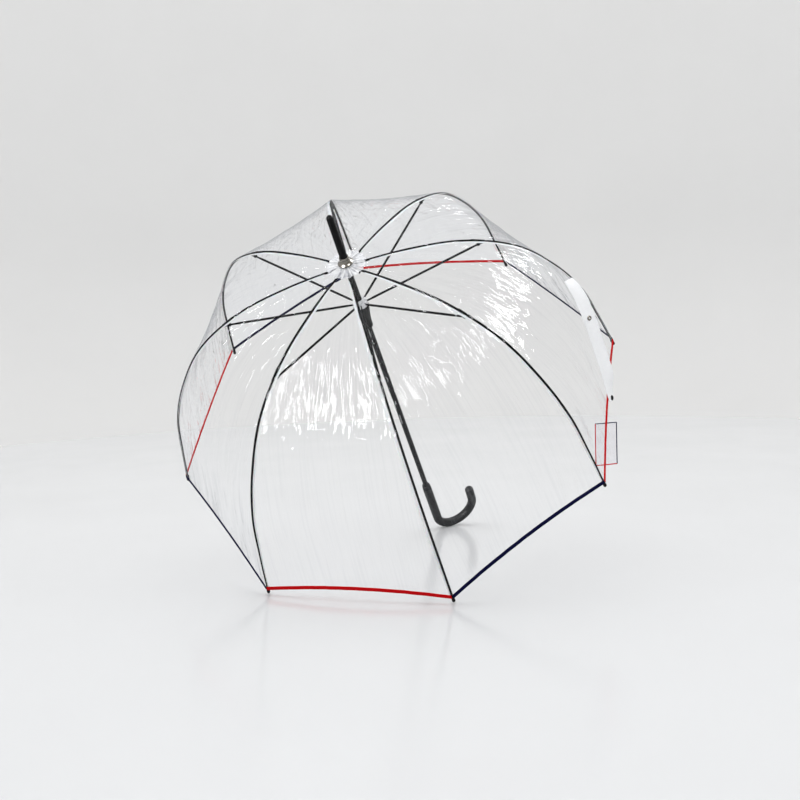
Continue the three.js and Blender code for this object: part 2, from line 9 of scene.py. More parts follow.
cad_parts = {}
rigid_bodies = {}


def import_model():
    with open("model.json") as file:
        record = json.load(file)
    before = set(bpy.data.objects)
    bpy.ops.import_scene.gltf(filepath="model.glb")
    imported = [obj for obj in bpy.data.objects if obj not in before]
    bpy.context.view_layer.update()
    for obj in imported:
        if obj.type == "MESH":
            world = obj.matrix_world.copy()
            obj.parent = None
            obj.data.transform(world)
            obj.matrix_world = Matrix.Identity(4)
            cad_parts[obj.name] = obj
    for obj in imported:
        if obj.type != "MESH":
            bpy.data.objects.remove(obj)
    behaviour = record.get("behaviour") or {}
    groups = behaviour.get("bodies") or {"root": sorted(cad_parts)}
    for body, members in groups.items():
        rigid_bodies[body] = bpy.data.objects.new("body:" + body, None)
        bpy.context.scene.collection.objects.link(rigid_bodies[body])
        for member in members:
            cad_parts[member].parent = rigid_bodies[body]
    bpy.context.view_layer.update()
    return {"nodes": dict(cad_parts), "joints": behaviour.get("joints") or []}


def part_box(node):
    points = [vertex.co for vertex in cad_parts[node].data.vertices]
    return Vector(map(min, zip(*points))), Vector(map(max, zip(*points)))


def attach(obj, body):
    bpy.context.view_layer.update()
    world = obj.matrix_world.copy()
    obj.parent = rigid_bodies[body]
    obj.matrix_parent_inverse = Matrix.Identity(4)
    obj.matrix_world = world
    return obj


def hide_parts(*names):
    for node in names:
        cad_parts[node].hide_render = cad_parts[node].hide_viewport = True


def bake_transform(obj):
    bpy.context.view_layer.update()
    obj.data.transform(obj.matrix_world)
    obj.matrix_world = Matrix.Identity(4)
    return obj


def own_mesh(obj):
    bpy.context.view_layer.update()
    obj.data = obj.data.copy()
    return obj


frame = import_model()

# The umbrella's own frame: the crown is its origin, z runs down the shaft, and a rib's plane is
# (radius, depth). Metres.
RIB_COUNT = 8
HALF_PITCH = math.pi / RIB_COUNT
FIRST_RIB_ANGLE = math.radians(67.5)
CROOK_ANGLE = math.radians(-38.1)
CROWN_PIVOT_DEPTH = -0.001

# Ribs and linkage
RIB_STATIONS = [
    (0.0105, 0.0), (0.101, 0.006), (0.190, 0.025), (0.270, 0.0685),
    (0.327, 0.134), (0.368, 0.208), (0.393, 0.289), (0.415, 0.372),
]
ROD_RADIUS = 0.0019
PIVOT_RADIUS = 0.0105
KNEE = Vector((0.211, 0.041))
RUNNER_PIVOT_DEPTH = 0.083
KNEE_FOOT_LENGTH = 0.2077
ELBOW_LENGTH = 0.2127
CLIP_TAIL = 0.014
CLIP_NOSE = 0.010
CLIP_GAP = 0.0024
CHEEK = 0.001

# Canopy
FILM_START = 0.0150
FILM_HEIGHT = 0.00295
GORE_SAG = 0.005
HEM_BOW = 0.009
HEM_WIDTH = 0.0075
HEM_THICKNESS = 0.0016
TIP_PAST_HEM = 0.009
TIP_LENGTH = 0.013
TIP_RADIUS = 0.0030
FILM_COLUMNS = 56
WRINKLE_DEPTH = 0.0009
SEAM_WIDTH = 0.0042
SEAM_OFFSET = 0.0048
SEAM_HEIGHT = 0.0006
SEAM_START = FILM_START + 0.012
SEAM_TO_HEM = 0.004
SEAM_BEND = 0.012  # to each side of the elbow
HEM_REACH = 0.992  # of a gore's half width
HEM_STITCH_RADIUS = 0.00016

# Strap and label
STRAP_GORE = 2
STRAP_STATIONS = [
    (0.396, -0.86), (0.400, -0.84), (0.420, -0.76), (0.440, -0.67), (0.465, -0.57), (0.490, -0.49),
    (0.515, -0.41), (0.540, -0.33), (0.560, -0.26), (0.580, -0.19), (0.596, -0.14), (0.607, -0.12),
]
STRAP_WIDTH = 0.024
STRAP_LENGTH = 0.23
STRAP_THICKNESS = 0.001
STRAP_HEIGHT = 0.0048
STRAP_TWIST = math.radians(40)
STRAP_END_TWIST = math.radians(8)
STRAP_FLAT_STATIONS = 3
STRAP_TURN_STATIONS = (8, 10)
STRAP_STITCH_RADIUS = 0.00018
SNAP_RING_SHARE = 0.36
SNAP_STUD_SHARE = 0.968
LABEL_WIDTH = 0.045
LABEL_HEIGHT = 0.074
LABEL_THICKNESS = 0.0003
LABEL_YAW = math.radians(40)
LABEL_BORDER_INSET = 0.0011
LABEL_BORDER_WIDTH = 0.0016
LABEL_BORDER_THICKNESS = 0.0008

# Shaft fittings
FITTING_BORE = 0.0066
ROSETTE_RADIUS = 0.034
ROSETTE_THICKNESS = 0.0006
BELL_BORE = 0.0054
BELL_BELOW_PIVOT = 0.0043

# Handle
GRIP_RADIUS = 0.009
GRIP_TOP = 0.607
COLLAR_LENGTH = 0.016
BEND_START = 0.728
BEND_RADIUS = 0.0423
CROOK_STRAIGHT = 0.0348

joints = {joint["name"]: joint for joint in frame["joints"]}


def joint_place(name):
    return Vector(joints[name]["pos_m"])


def mean(points):
    return sum(points, Vector()) / len(points)


ribs = range(1, RIB_COUNT + 1)
crown_pivots = mean([joint_place("open_close")] + [joint_place(f"rib_fold_{k}") for k in ribs[1:]])
knee_pivots = mean([joint_place(f"stretcher_pivot_{k}") for k in ribs])
DOWN_SHAFT = (knee_pivots - crown_pivots).normalized()
SIDEWAYS = Vector((1, 0, 0))
FORWARD = DOWN_SHAFT.cross(SIDEWAYS)
CROWN = crown_pivots - DOWN_SHAFT * CROWN_PIVOT_DEPTH
TO_ROW = Matrix((SIDEWAYS, FORWARD, DOWN_SHAFT)).transposed()


def rib_angle(rib):
    return FIRST_RIB_ANGLE - (rib - 1) * 2 * HALF_PITCH


def gore_angle(gore):
    return rib_angle(gore) - HALF_PITCH


def turned_to(angle):
    """A function that takes a point of the plane at an angle round the shaft to the row frame."""
    turn = TO_ROW @ Matrix.Rotation(angle, 3, "Z")
    return lambda point: CROWN + turn @ Vector(point)


def direction_at(angle, vector):
    return TO_ROW @ Matrix.Rotation(angle, 3, "Z") @ Vector(vector)


# Curves

def catmull_rom(stations, share):
    """A smooth line through stations, at a share of the way along their numbers."""
    place = share * (len(stations) - 1)
    n = min(int(place), len(stations) - 2)
    t = place - n
    a, b, c, d = (Vector(stations[min(max(n + k, 0), len(stations) - 1)]) for k in (-1, 0, 1, 2))
    start, end = (c - a) / 2, (d - b) / 2
    return (2 * b - 2 * c + start + end) * t**3 + (3 * c - 3 * b - 2 * start - end) * t**2 + start * t + b


class Line:
    """A smooth line through stations, measured by its length."""

    def __init__(self, stations, steps=1600):
        self.points = [catmull_rom(stations, n / steps) for n in range(steps + 1)]
        self.lengths = [0.0]
        for before, after in zip(self.points, self.points[1:]):
            self.lengths.append(self.lengths[-1] + (after - before).length)
        self.length = self.lengths[-1]

    def at(self, length):
        length = min(max(length, 0.0), self.length)
        high = min(bisect.bisect_right(self.lengths, length), len(self.lengths) - 1)
        low = high - 1
        step = self.lengths[high] - self.lengths[low]
        return self.points[low].lerp(self.points[high], (length - self.lengths[low]) / step)

    def tangent(self, length, reach=0.0006):
        return (self.at(length + reach) - self.at(length - reach)).normalized()


rib_line = Line(RIB_STATIONS)
RIB_LENGTH = rib_line.length


def rib_normal(length):
    tangent = rib_line.tangent(length)
    return Vector((tangent.y, -tangent.x))


def on_rib(length, height=0.0, side=0.0):
    """A point in a rib's plane, at a length along it, a height over it and a distance beside it."""
    point = rib_line.at(length) + rib_normal(length) * height
    return Vector((point.x, side, point.y))


def turns(count):
    """Equal turns round a full circle."""
    return [2 * math.pi * n / count for n in range(count)]


def smooth(value, start, end):
    share = min(max((value - start) / (end - start), 0.0), 1.0)
    return share * share * (3 - 2 * share)


def canopy_point(length, across, height):
    """A point of the canopy in its gore's frame, across from -1 to 1 between its two ribs."""
    normal = rib_normal(length)
    edge = rib_line.at(length) + normal * height
    sag = GORE_SAG * math.sin(math.pi * length / RIB_LENGTH) * (1 - across * across)
    return Vector((
        edge.x * math.cos(HALF_PITCH) - sag * normal.x,
        across * edge.x * math.sin(HALF_PITCH),
        edge.y - sag * normal.y,
    ))


def hem_length(across):
    return RIB_LENGTH - TIP_PAST_HEM - HEM_BOW * (1 - across * across)


# Meshes

def make_piece(name, points, faces, material, uvs=None, smooth_angle=40):
    """A mesh piece from points in the row frame. uvs has one pair per point."""
    mesh = bpy.data.meshes.new(name)
    mesh.from_pydata([tuple(p) for p in points], [], faces)
    if uvs:
        layer = mesh.uv_layers.new(name="UVMap")
        for loop in mesh.loops:
            layer.data[loop.index].uv = uvs[loop.vertex_index]
    mesh.polygons.foreach_set("use_smooth", [True] * len(mesh.polygons))
    mesh.set_sharp_from_angle(angle=math.radians(smooth_angle))
    mesh.materials.append(material)
    mesh.validate()
    mesh.update()
    piece = bpy.data.objects.new(name, mesh)
    bpy.context.scene.collection.objects.link(piece)
    return piece


class Shape:
    """Points and faces gathered from several closed solids, for one piece."""

    def __init__(self):
        self.points, self.faces, self.uvs = [], [], []

    def add(self, points, faces, uvs=None):
        first = len(self.points)
        self.points += points
        self.faces += [tuple(first + n for n in face) for face in faces]
        self.uvs += uvs or [(0.0, 0.0)] * len(points)

    def rings(self, rings, uvs=None, closed_ends=True):
        """A skin over rings of equally many points."""
        count = len(rings[0])
        faces = []
        for r in range(len(rings) - 1):
            for n in range(count):
                a, b = r * count + n, r * count + (n + 1) % count
                faces.append((a, b, b + count, a + count))
        if closed_ends:
            faces.append(tuple(reversed(range(count))))
            faces.append(tuple(range((len(rings) - 1) * count, len(rings) * count)))
        self.add([p for ring in rings for p in ring], faces, uvs)

    def rod(self, stations, place, sides=14):
        """A round rod in a plane: stations are (point, normal, radius), with 2-D points."""
        rings, uvs, length = [], [], 0.0
        for n, (point, normal, radius) in enumerate(stations):
            length += (point - stations[n - 1][0]).length if n else 0.0
            ring = []
            for s, angle in enumerate(turns(sides)):
                spot = point + normal * (math.cos(angle) * radius)
                ring.append(place((spot.x, math.sin(angle) * radius, spot.y)))
                uvs.append((s / sides, length))
            rings.append(ring)
        self.rings(rings, uvs)

    def plate(self, outline, thickness, place, shift=0.0, bevel=0.0003):
        """A flat plate with rounded edges from an outline in a rib's plane."""
        middle = mean([Vector((p.x, p.y, 0)) for p in outline])
        middle = Vector((middle.x, middle.y))
        rings = []
        for offset, inset in ((-0.5, bevel), (-0.5, 0), (0.5, 0), (0.5, bevel)):
            level = shift + offset * thickness + math.copysign(bevel, -offset) * (inset == 0)
            ring = []
            for p in outline:
                inwards = (middle - p).normalized() * inset
                ring.append(place((p.x + inwards.x, level, p.y + inwards.y)))
            rings.append(ring)
        self.rings(rings)

    def piece(self, name, material, smooth_angle=40):
        piece = make_piece(name, self.points, self.faces, material, self.uvs, smooth_angle)
        face_outwards(piece)
        return piece


def skin(name, rings, uvs, material, smooth_angle):
    """A piece that is one closed skin over rings of points."""
    shape = Shape()
    shape.rings(rings, uvs)
    return shape.piece(name, material, smooth_angle)


def grid_faces(rows, columns):
    """The faces of a sheet of rows by columns cells, whose points are listed row by row."""
    width = columns + 1
    faces = []
    for row in range(rows):
        for column in range(columns):
            a = row * width + column
            faces.append((a, a + 1, a + width + 1, a + width))
    return faces


def turned_faces(segments, count):
    """The faces of a closed outline of count points that is turned round in segments."""
    faces = []
    for n in range(segments):
        this, following = n * count, (n + 1) % segments * count
        for k in range(count):
            above = (k + 1) % count
            faces.append((this + k, this + above, following + above, following + k))
    return faces


def settle(piece, body, node):
    """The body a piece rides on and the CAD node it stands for."""
    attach(piece, body)
    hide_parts(node)


def face_outwards(piece):
    made = bmesh.new()
    made.from_mesh(piece.data)
    bmesh.ops.recalc_face_normals(made, faces=made.faces)
    made.to_mesh(piece.data)
    made.free()


def lathe(name, profile, material, segments=64, angle=40, wave=None):
    """A turned piece round the shaft from (radius, depth) pairs on a closed outline.

    wave gives what a radius grows by and how far it is lifted at a turn round the shaft.
    """
    place = turned_to(0)
    points, uvs = [], []
    for turn in turns(segments):
        for radius, depth in profile:
            grow, lift = wave(radius, turn) if wave else (0.0, 0.0)
            reach = radius + grow
            spot = Vector((reach * math.cos(turn), reach * math.sin(turn), depth + lift))
            points.append(place(spot))
            uvs.append((turn * 0.03, depth + radius))
    shape = Shape()
    shape.add(points, turned_faces(segments, len(profile)), uvs)
    piece = shape.piece(name, material, angle)
    weld(piece)
    return piece


def weld(piece, distance=0.00001):
    """Joins points that lie on each other, such as those on a lathe's axis."""
    made = bmesh.new()
    made.from_mesh(piece.data)
    bmesh.ops.remove_doubles(made, verts=made.verts, dist=distance)
    bmesh.ops.dissolve_degenerate(made, dist=distance / 10, edges=made.edges)
    bmesh.ops.recalc_face_normals(made, faces=made.faces)
    made.to_mesh(piece.data)
    made.free()


# Materials

class Shader:
    """A material as it is wired up."""

    def __init__(self, name):
        self.material = bpy.data.materials.new(name)
        self.material.use_nodes = True
        self.tree = self.material.node_tree
        self.tree.nodes.clear()

    def node(self, kind, inputs=None, **settings):
        node = self.tree.nodes.new(kind)
        for key, value in settings.items():
            setattr(node, key, value)
        for key, value in (inputs or {}).items():
            if isinstance(value, bpy.types.NodeSocket):
                self.tree.links.new(value, node.inputs[key])
            else:
                node.inputs[key].default_value = value
        return node

    def where(self, source="Object", stretch=(1, 1, 1)):
        coordinates = self.node("ShaderNodeTexCoord").outputs[source]
        inputs = {"Vector": coordinates, "Scale": stretch}
        return self.node("ShaderNodeMapping", inputs).outputs["Vector"]

    def noise(self, scale, detail=3.0, source="Object", stretch=(1, 1, 1), roughness=0.5, distortion=0.0):
        return self.node("ShaderNodeTexNoise", {
            "Vector": self.where(source, stretch),
            "Scale": scale,
            "Detail": detail,
            "Roughness": roughness,
            "Distortion": distortion,
        }).outputs["Fac"]

    def ramp(self, factor, stops):
        node = self.node("ShaderNodeValToRGB", {"Fac": factor})
        ramp = node.color_ramp
        while len(ramp.elements) < len(stops):
            ramp.elements.new(0.5)
        for element, (place, value) in zip(ramp.elements, stops):
            element.position = place
            colour = value if hasattr(value, "__len__") else (value, value, value)
            element.color = (*colour, 1)
        return node.outputs["Color"]

    def math(self, operation, a, b, clamp=False):
        node = self.node("ShaderNodeMath", {0: a, 1: b}, operation=operation, use_clamp=clamp)
        return node.outputs[0]

    def bump(self, height, strength, distance, normal=None):
        inputs = {"Height": height, "Strength": strength, "Distance": distance}
        if normal is not None:
            inputs["Normal"] = normal
        return self.node("ShaderNodeBump", inputs).outputs["Normal"]

    def principled(self, **inputs):
        named = {key.replace("_", " "): value for key, value in inputs.items()}
        return self.node("ShaderNodeBsdfPrincipled", named).outputs[0]

    def mix(self, factor, a, b):
        return self.node("ShaderNodeMixShader", {0: factor, 1: a, 2: b}).outputs[0]

    def finish(self, surface):
        self.node("ShaderNodeOutputMaterial", {"Surface": surface})
        return self.material


def coated_metal(name, dark, light, low, high, metallic=0.0, grain=700, specular=0.16):
    """Smooth lacquer or plating: slightly uneven in colour and gloss, with fine orange peel."""
    s = Shader(name)
    patches = s.noise(38, 4)
    colour = s.ramp(patches, [(0.3, dark), (0.72, light)])
    gloss = s.ramp(s.noise(260, 5), [(0.3, low), (0.75, high)])
    normal = s.bump(s.noise(grain, 2), 0.12, 0.00012)
    return s.finish(s.principled(
        Base_Color=colour, Roughness=gloss, Normal=normal, Metallic=metallic, Specular_IOR_Level=specular,
    ))


def moulded_plastic(name, dark, light, low, high, grain=1500, depth=0.00005, specular=0.14):
    """Moulded plastic: a fine spark-eroded grain, faint flow marks and rubbed patches."""
    s = Shader(name)
    flow = s.noise(26, 5, stretch=(1, 1, 3), distortion=0.6)
    colour = s.ramp(flow, [(0.32, dark), (0.7, light)])
    gloss = s.ramp(s.noise(90, 5), [(0.3, low), (0.72, high)])
    normal = s.bump(s.noise(grain, 3), 0.25, depth)
    return s.finish(s.principled(
        Base_Color=colour, Roughness=gloss, Normal=normal, Specular_IOR_Level=specular,
    ))


def film_material():
    """Thin clear film: it mirrors a little and dims at a glancing angle, with facets along its length and
    painted shade along fine crease lines.
    """
    s = Shader("clear_film")
    zigzag = [(0.28, 0), (0.38, 1), (0.46, 0.1), (0.53, 1), (0.62, 0), (0.72, 0.9)]
    broad = s.noise(1, 1, "UV", (20, 5, 1), distortion=0.3)
    facets = s.ramp(s.noise(1, 1, "UV", (24, 6, 1), distortion=0.5), zigzag)
    patches = s.ramp(s.noise(1, 0, "UV", (48, 26, 1), distortion=0.3), [(0.35, 0), (0.5, 1), (0.65, 0)])
    fine = s.noise(1, 0, "UV", (130, 9, 1))
    normal = s.bump(broad, 1.0, 0.006)
    gentle = s.bump(facets, 0.35, 0.0005, normal)
    normal = s.bump(facets, 1.0, 0.0010, normal)
    normal = s.bump(patches, 1.0, 0.0009, normal)
    normal = s.bump(fine, 1.0, 0.0012, normal)
    mirror = s.principled(
        Base_Color=(0.97, 0.98, 1.0, 1), Metallic=1.0, Normal=normal,
        Roughness=s.ramp(fine, [(0.3, 0.01), (0.8, 0.05)]),
    )
    fresnel = s.node("ShaderNodeFresnel", {"IOR": 1.5, "Normal": gentle}).outputs[0]
    share = s.math("MULTIPLY", fresnel, 0.32, clamp=True)
    facing = s.node("ShaderNodeLayerWeight", {"Blend": 0.35, "Normal": gentle}).outputs["Facing"]
    tint = s.ramp(facing, [
        (0.0, (0.998, 0.998, 0.998)), (0.6, (0.988, 0.988, 0.99)), (1.0, (0.62, 0.63, 0.66)),
    ])
    lines = s.noise(1, 2, "UV", (260, 5, 1), distortion=0.6)
    # painted shade: the clear colour is made a little darker along fine crease lines
    shade = s.ramp(lines, [(0.36, (0.955, 0.957, 0.962)), (0.50, (1, 1, 1))])
    tint = s.node("ShaderNodeVectorMath", {0: tint, 1: shade}, operation="MULTIPLY").outputs[0]
    clear = s.node("ShaderNodeBsdfTransparent", {"Color": tint}).outputs[0]
    film = s.mix(share, clear, mirror)
    haze = s.node("ShaderNodeBsdfTranslucent", {"Color": (0.93, 0.95, 0.97, 1)}).outputs[0]
    hazy = s.ramp(lines, [(0.55, 0.0), (0.72, 0.05)])
    return s.finish(s.mix(hazy, film, haze))


def milky_film(name, clear_share, colour):
    """Welded or frosted film: white, part see-through, with a pressed grid of weld marks."""
    s = Shader(name)
    marks = s.noise(900, 3, "UV")
    patches = s.noise(60, 4, "UV", (1, 0.4, 1))
    white = s.principled(
        Base_Color=s.ramp(patches, [(0.3, [c * 0.93 for c in colour]), (0.7, colour)]),
        Roughness=s.ramp(marks, [(0.3, 0.2), (0.7, 0.42)]),
        Normal=s.bump(marks, 0.3, 0.0001),
        Subsurface_Weight=0.2, Subsurface_Scale=0.002,
    )
    clear = s.node("ShaderNodeBsdfTransparent", {"Color": (0.97, 0.975, 0.98, 1)}).outputs[0]
    low, high = clear_share
    return s.finish(s.mix(s.ramp(patches, [(0.25, 1 - high), (0.75, 1 - low)]), clear, white))


def creased_film(name):
    """The crown patch: milky film, gathered into radial creases that catch the light, with painted shade:
    its colour is darker in the troughs of the crease pattern.
    """
    s = Shader(name)
    creases = s.noise(1, 3, "UV", (260, 26, 1), distortion=0.3)
    cloud = s.noise(1, 3, "UV", (60, 90, 1))
    # painted shade: the base colour is darker where the crease pattern is low, in its troughs
    white = s.principled(
        Base_Color=s.ramp(creases, [(0.3, (0.80, 0.82, 0.88)), (0.62, (0.97, 0.975, 0.985))]),
        Roughness=s.ramp(cloud, [(0.3, 0.14), (0.7, 0.34)]),
        Normal=s.bump(creases, 1.0, 0.0012),
    )
    clear = s.node("ShaderNodeBsdfTransparent", {"Color": (0.97, 0.972, 0.978, 1)}).outputs[0]
    creased = s.ramp(creases, [(0.36, 0.12), (0.66, 0.62)])
    clouded = s.ramp(cloud, [(0.3, 0.0), (0.7, 0.16)])
    return s.finish(s.mix(s.math("ADD", creased, clouded), clear, white))


def woven(name, dark, light, threads, roughness, sheen=0.3, depth=0.00012, specular=0.5):
    """Woven tape: warp and weft threads in relief, slight shade changes from thread to thread."""
    s = Shader(name)
    where = s.where("UV")
    weave = []
    for direction in ("X", "Y"):
        weave.append(s.node("ShaderNodeTexWave", {
            "Vector": where, "Scale": threads, "Distortion": 0.4, "Detail": 1.0,
        }, bands_direction=direction).outputs["Fac"])
    cloth = s.math("MULTIPLY", weave[0], weave[1])
    shade = s.math("ADD", s.math("MULTIPLY", cloth, 0.45), s.math("MULTIPLY", s.noise(240, 4, "UV"), 0.6))
    return s.finish(s.principled(
        Base_Color=s.ramp(shade, [(0.15, dark), (0.75, light)]),
        Roughness=s.ramp(cloth, [(0.0, min(1.0, roughness + 0.12)), (1.0, roughness)]),
        Normal=s.bump(cloth, 0.6, depth),
        Sheen_Weight=sheen, Sheen_Roughness=0.5, Specular_IOR_Level=specular,
    ))


def printed_film():
    """The label: clear film with a faint cloudy bloom."""
    s = Shader("label_film")
    cloud = s.noise(70, 4, "UV")
    face = s.principled(
        Base_Color=s.ramp(cloud, [(0.3, (0.74, 0.75, 0.82)), (0.7, (0.86, 0.86, 0.9))]),
        Roughness=s.ramp(cloud, [(0.3, 0.12), (0.7, 0.3)]),
        Normal=s.bump(cloud, 0.2, 0.0006),
    )
    clear = s.node("ShaderNodeBsdfTransparent", {"Color": (0.985, 0.98, 0.99, 1)}).outputs[0]
    return s.finish(s.mix(s.ramp(cloud, [(0.3, 0.03), (0.7, 0.16)]), clear, face))


lacquer = coated_metal(
    "black_lacquer", (0.001, 0.001, 0.001), (0.003, 0.003, 0.004), 0.34, 0.48, specular=0.03)
shaft_lacquer = coated_metal(
    "shaft_lacquer", (0.004, 0.004, 0.005), (0.010, 0.010, 0.011), 0.3, 0.45, specular=0.14)
nickel = coated_metal(
    "nickel", (0.15, 0.14, 0.12), (0.33, 0.31, 0.28), 0.12, 0.26, metallic=1.0, grain=1300, specular=0.5)
spring_steel = coated_metal(
    "spring_steel", (0.34, 0.34, 0.35), (0.5, 0.5, 0.51), 0.25, 0.42, metallic=1.0, specular=0.5)
black_plastic = moulded_plastic(
    "black_plastic", (0.003, 0.003, 0.003), (0.008, 0.008, 0.009), 0.3, 0.46, specular=0.07)
handle_plastic = moulded_plastic(
    "handle_plastic", (0.007, 0.007, 0.008), (0.017, 0.018, 0.020), 0.32, 0.5, specular=0.2)
white_plastic = moulded_plastic(
    "white_plastic", (0.70, 0.71, 0.73), (0.82, 0.83, 0.84), 0.3, 0.45, specular=0.5)
film = film_material()
seam_film = milky_film("seam_film", (0.05, 0.3), (0.97, 0.975, 0.985))
rosette_film = creased_film("rosette_film")
label_film = printed_film()
strap_white = woven("strap_white", (0.90, 0.91, 0.93), (0.965, 0.97, 0.98), 1500, 0.6)
navy = woven(
    "binding_navy", (0.001, 0.001, 0.020), (0.002, 0.003, 0.048), 1800, 0.75, sheen=0.01, specular=0.03)
red = woven(
    "binding_red", (0.47, 0.0, 0.002), (0.68, 0.001, 0.004), 1800, 0.75, sheen=0.01, specular=0.03)
thread_white = woven("thread_white", (0.75, 0.76, 0.78), (0.9, 0.9, 0.92), 2600, 0.7)


# Canopy film

def ruffle(gore, length, across):
    """How far the film stands off its smooth curve: long creases that fan out from the crown."""
    seed = 11.7 * gore
    long_folds = noise.noise(Vector((across * 5 + 0.6 * math.sin(9 * length + gore), length * 7, seed)))
    fine_folds = noise.noise(Vector((across * 15, length * 12, seed + 50)))
    slack = noise.noise(Vector((across * 2, length * 11, seed + 90)))
    edge = (1 - across**2) ** 0.5
    ends = smooth(length, 0.03, 0.12) * (1 - 0.6 * smooth(length, RIB_LENGTH - 0.06, RIB_LENGTH))
    return WRINKLE_DEPTH * (long_folds + 0.45 * fine_folds + 0.9 * slack) * edge * ends


def film_point(gore, length, across):
    point = canopy_point(length, across, FILM_HEIGHT)
    normal = rib_normal(length)
    out = Vector((normal.x * math.cos(HALF_PITCH), 0, normal.y))
    return point + out * ruffle(gore, length, across)


def film_part(gore, half, start, end, rows):
    """One part of a gore's film, from one length to another, which may depend on the place across."""
    place = turned_to(gore_angle(gore))
    points, uvs = [], []
    for row in range(rows + 1):
        for column in range(FILM_COLUMNS + 1):
            across = 2 * column / FILM_COLUMNS - 1
            length = start(across) + (end(across) - start(across)) * row / rows
            points.append(place(film_point(gore, length, across)))
            width = rib_line.at(length).x * math.sin(HALF_PITCH)
            uvs.append((across * (0.05 + 0.75 * width) + 0.37 * gore, length + 0.11 * gore))
    return make_piece(f"film_{half}_{gore}", points, grid_faces(rows, FILM_COLUMNS), film, uvs, 180)


def fold_flat(piece):
    """Gives the piece a mesh of its own."""
    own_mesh(piece)


def hang_film(gore):
    """A gore's film above and below its ribs' elbows. The lower part runs on into its hem."""
    upper = film_part(gore, "upper", lambda a: FILM_START, lambda a: ELBOW_LENGTH, 44)
    lower = film_part(gore, "lower", lambda a: ELBOW_LENGTH, lambda a: hem_length(a) - HEM_WIDTH * 0.6, 72)
    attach(upper, f"canopy_upper_{gore}")
    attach(lower, f"canopy_lower_{gore}")
    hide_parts(f"gore_{gore}")
    for piece in (upper, lower):
        fold_flat(piece)
    return upper, lower


def declare_film(gore, upper, lower, seam, hem_pieces):
    """A gore is cut as a blade from the crown to the hem; here it is in two parts that meet at the elbow.
    This only works out the gore's width at the elbow and at the hem, and does nothing with them.
    """
    half_chord = math.sin(HALF_PITCH)
    elbow_width = 2 * rib_line.at(ELBOW_LENGTH).x * half_chord
    hem_width = 2 * rib_line.at(RIB_LENGTH).x * half_chord


def seam_side(rib):
    """The weld flange flops downhill, towards the front gore: 1 or -1 round the shaft."""
    return -1.0 if rib > RIB_COUNT // 2 else 1.0


def weld_seam(rib):
    """A milky strip under the film along one rib, where two gores are welded together."""
    place = turned_to(rib_angle(rib))
    section = [(-0.5, 0), (0, 0.00006), (0.5, 0), (0.5, -0.0002), (0, -0.00014), (-0.5, -0.0002)]
    rings, uvs = [], []
    steps = 110
    start, end = SEAM_START, RIB_LENGTH - TIP_PAST_HEM - SEAM_TO_HEM
    for n in range(steps + 1):
        length = start + (end - start) * n / steps
        shift = SEAM_OFFSET * (0.7 + 0.3 * smooth(length, 0.04, 0.1))
        shift *= 1 - 0.5 * smooth(length, 0.45, end)
        wander = 0.0006 * noise.noise(Vector((length * 30, rib * 3.1, 0)))
        width = SEAM_WIDTH * (0.55 + 0.45 * smooth(length, start, 0.1))
        width *= 1 - 0.3 * smooth(length, 0.5, end)
        middle = seam_side(rib) * (shift + wander)
        ring = []
        for across, lift in section:
            side = middle + across * width
            ring.append(place(on_rib(length, SEAM_HEIGHT + lift, side)))
            uvs.append((side, length))
        rings.append(ring)
    seam = skin(f"weld_seam_{rib}", rings, uvs, seam_film, 60)
    before = place(on_rib(ELBOW_LENGTH - SEAM_BEND))
    after = place(on_rib(ELBOW_LENGTH + SEAM_BEND))
    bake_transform(seam)
    return seam


def bind_hem(gore):
    """Folded tape round the film's lower edge, with a line of stitches."""
    place = turned_to(gore_angle(gore))
    colour = navy if gore % 2 else red
    section = [(0, -0.6), (0, 0.6), (0.12, 1.0), (0.5, 0.92), (0.88, 1.0), (1, 0.55), (1, -0.55),
               (0.88, -1.0), (0.5, -0.92), (0.12, -1.0)]
    half = HEM_THICKNESS / 2
    rings, uvs = [], []
    steps = 96
    for n in range(steps + 1):
        across = HEM_REACH * (2 * n / steps - 1)
        ripple = 0.0004 * noise.noise(Vector((across * 9, gore * 4.3, 1)))
        ring = []
        for k, (along, lift) in enumerate(section):
            length = hem_length(across) - HEM_WIDTH * (1 - along)
            ring.append(place(canopy_point(length, across, FILM_HEIGHT + lift * half + ripple)))
            uvs.append((across * 0.16, along * HEM_WIDTH + 0.02 * k))
        rings.append(ring)
    binding = skin(f"hem_binding_{gore}", rings, uvs, colour, 50)
    settle(binding, f"canopy_lower_{gore}", f"hem_{gore}")

    def seat(share):
        across = HEM_REACH * (2 * share - 1)
        return place(canopy_point(hem_length(across) - 0.0009, across, FILM_HEIGHT + half + 0.00012))
    threads = stitches(f"hem_stitches_{gore}", seat, 92, HEM_STITCH_RADIUS, colour)
    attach(threads, f"canopy_lower_{gore}")
    for piece in (binding, threads):
        fold_flat(piece)
    return binding, threads


def stitches(name, seat, count, radius, material):
    """A row of thread stitches: seat gives a point on the cloth at a share of the way along."""
    shape = Shape()
    for n in range(count):
        a, b = seat((n + 0.18) / count), seat((n + 0.82) / count)
        along = (b - a).normalized()
        side = along.orthogonal().normalized()
        up = along.cross(side)
        rings, uvs = [], []
        for share, size in ((0, 0.35), (0.15, 0.9), (0.5, 1.0), (0.85, 0.9), (1, 0.35)):
            ring = []
            for s in range(6):
                turn = s * math.pi / 3
                ring.append(a.lerp(b, share) + (side * math.cos(turn) + up * math.sin(turn)) * radius * size)
                uvs.append((s / 6 * 0.002, share * 0.002))
            rings.append(ring)
        shape.rings(rings, uvs)
    return shape.piece(name, material, 60)


# Ribs, stretchers and tips

